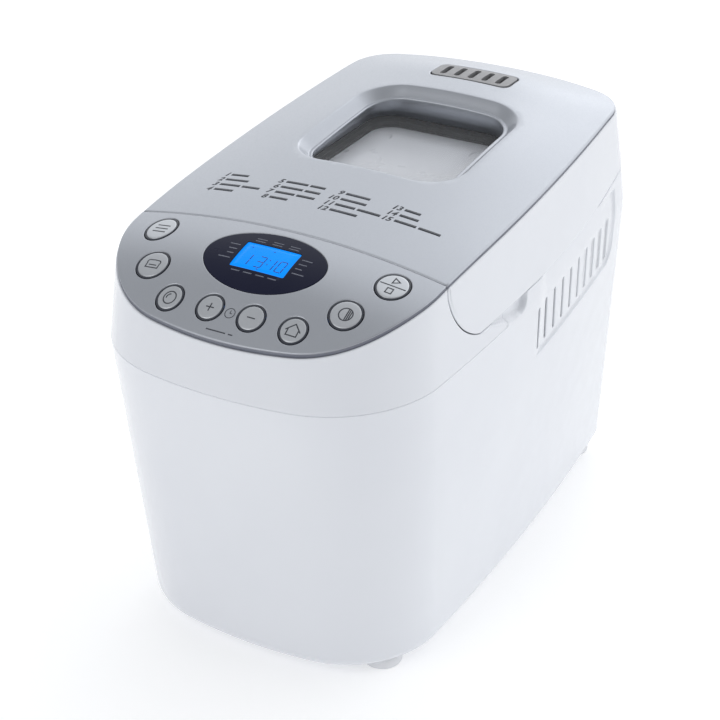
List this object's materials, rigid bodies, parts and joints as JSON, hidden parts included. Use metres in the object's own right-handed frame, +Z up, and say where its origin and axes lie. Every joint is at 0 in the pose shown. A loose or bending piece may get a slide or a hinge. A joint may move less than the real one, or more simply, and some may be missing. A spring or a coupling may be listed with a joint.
{
  "type": "bread machine",
  "caption": "Countertop bread machine with a tapered white body, sloped control console, hinged windowed lid, lift-out pan and belt-driven kneading paddle.",
  "frame": {"origin": "on the surface that it stands on, under the middle of its bounding box", "axes": "+X to the user's right, -Y towards the user (console side), +Z up"},
  "size_m": [0.229, 0.4, 0.2926],
  "materials": {
    "body_white": "glossy moulded",
    "silver_fascia": "satin metallic",
    "button_silver": "satin metallic paint",
    "lens_dark": "polished",
    "lcd_blue": "backlit display",
    "vent_grey": "satin",
    "glass_clear": "clear",
    "seal_black": "matt",
    "foot_rubber": "matt",
    "inner_steel": "rolled sheet",
    "pan_coating": "non-stick coating",
    "cast_metal": "as cast",
    "bronze": "sintered",
    "heater_dark": "oxidised sheath",
    "ceramic_white": "unglazed ceramic",
    "board_green": "coated board",
    "plastic_black": "moulded"
  },
  "bodies": {
    "root": {"base_plate": "inner_steel", "foot_front_left": "foot_rubber", "foot_front_right": "foot_rubber", "foot_rear_left": "foot_rubber", "foot_rear_right": "foot_rubber", "lower_body_shell": "body_white", "console_cover": "body_white", "control_panel": "silver_fascia", "display_lens": "lens_dark", "lcd_module": "lcd_blue", "control_board": "board_green", "tact_switches": "plastic_black", "chamber_liner": "inner_steel", "top_deck": "inner_steel", "heating_element": "heater_dark", "element_insulators": "ceramic_white", "temperature_sensor": "inner_steel", "chassis_frame": "inner_steel", "pan_seat": "inner_steel", "bearing_housing": "cast_metal", "drive_bushings": "bronze", "motor_housing": "cast_metal", "motor_bracket": "inner_steel", "drive_belt": "seal_black", "power_board": "board_green", "cord_gland": "plastic_black", "hinge_pins": "inner_steel", "base_screws": "inner_steel", "console_screws": "inner_steel"},
    "lid": {"lid_frame": "body_white", "lid_top_panel": "silver_fascia", "window_bezel": "silver_fascia", "window_glass_outer": "glass_clear", "window_glass_inner": "glass_clear", "window_gasket": "seal_black", "lid_liner": "inner_steel", "lid_seal": "seal_black", "lid_vent_grille": "vent_grey", "lid_screws": "inner_steel"},
    "pan": {"bread_pan": "pan_coating", "pan_base_ring": "pan_coating", "pan_bushing": "bronze", "bail_lugs": "inner_steel"},
    "bail": {"pan_bail": "inner_steel"},
    "pan_drive": {"pan_shaft": "inner_steel", "pan_coupling": "cast_metal"},
    "paddle": {"kneading_paddle": "pan_coating"},
    "drive_train": {"drive_shaft": "inner_steel", "large_pulley": "plastic_black", "drive_coupler": "cast_metal"},
    "motor_rotor": {"motor_shaft": "inner_steel", "motor_pulley": "plastic_black"},
    "button_menu": {"button_menu": "button_silver"},
    "button_start": {"button_start": "button_silver"},
    "button_loaf_size": {"button_loaf_size": "button_silver"},
    "button_crust_color": {"button_crust_color": "button_silver"},
    "button_dough": {"button_dough": "button_silver"},
    "button_home_made": {"button_home_made": "button_silver"},
    "button_plus": {"button_plus": "button_silver"},
    "button_minus": {"button_minus": "button_silver"}
  },
  "joints": [
    {"name": "lid_hinge", "type": "hinge", "parent": "root", "child": "lid", "pos_m": [0, 0.193, 0.241], "axis": [-1, 0, 0], "range_deg": [0, 88]},
    {"name": "drive_spin", "type": "hinge", "parent": "root", "child": "drive_train", "pos_m": [0, 0.04, 0.05], "axis": [0, 0, 1], "continuous": true},
    {"name": "motor_spin", "type": "hinge", "parent": "root", "child": "motor_rotor", "pos_m": [0, -0.118, 0.05], "axis": [0, 0, 1], "continuous": true},
    {"name": "pan_lift", "type": "slide", "parent": "root", "child": "pan", "axis": [0, 0, 1], "range_m": [0, 0.008]},
    {"name": "bail_swing", "type": "hinge", "parent": "pan", "child": "bail", "pos_m": [0, 0.04, 0.207], "axis": [0, -1, 0], "range_deg": [0, 10]},
    {"name": "pan_shaft_spin", "type": "hinge", "parent": "pan", "child": "pan_drive", "pos_m": [0, 0.04, 0.09], "axis": [0, 0, 1], "continuous": true},
    {"name": "paddle_pull", "type": "slide", "parent": "pan_drive", "child": "paddle", "axis": [0, 0, 1], "range_m": [0, 0.04]},
    {"name": "button_menu_press", "type": "slide", "parent": "root", "child": "button_menu", "axis": [0, 0.2419, -0.9703], "range_m": [0, 0.0008], "stiffness_N_per_m": 3000},
    {"name": "button_start_press", "type": "slide", "parent": "root", "child": "button_start", "axis": [0, 0.2419, -0.9703], "range_m": [0, 0.0008], "stiffness_N_per_m": 3000},
    {"name": "button_loaf_size_press", "type": "slide", "parent": "root", "child": "button_loaf_size", "axis": [0, 0.3584, -0.9336], "range_m": [0, 0.0008], "stiffness_N_per_m": 3000},
    {"name": "button_crust_color_press", "type": "slide", "parent": "root", "child": "button_crust_color", "axis": [0, 0.3584, -0.9336], "range_m": [0, 0.0008], "stiffness_N_per_m": 3000},
    {"name": "button_dough_press", "type": "slide", "parent": "root", "child": "button_dough", "axis": [0, 0.4384, -0.8988], "range_m": [0, 0.0008], "stiffness_N_per_m": 3000},
    {"name": "button_home_made_press", "type": "slide", "parent": "root", "child": "button_home_made", "axis": [0, 0.4384, -0.8988], "range_m": [0, 0.0008], "stiffness_N_per_m": 3000},
    {"name": "button_plus_press", "type": "slide", "parent": "root", "child": "button_plus", "axis": [0, 0.4384, -0.8988], "range_m": [0, 0.0008], "stiffness_N_per_m": 3000},
    {"name": "button_minus_press", "type": "slide", "parent": "root", "child": "button_minus", "axis": [0, 0.4384, -0.8988], "range_m": [0, 0.0008], "stiffness_N_per_m": 3000}
  ],
  "couplings": [
    {"joint": "motor_spin", "follows": "drive_spin", "ratio": 6},
    {"joint": "pan_shaft_spin", "follows": "drive_spin", "ratio": 1}
  ]
}
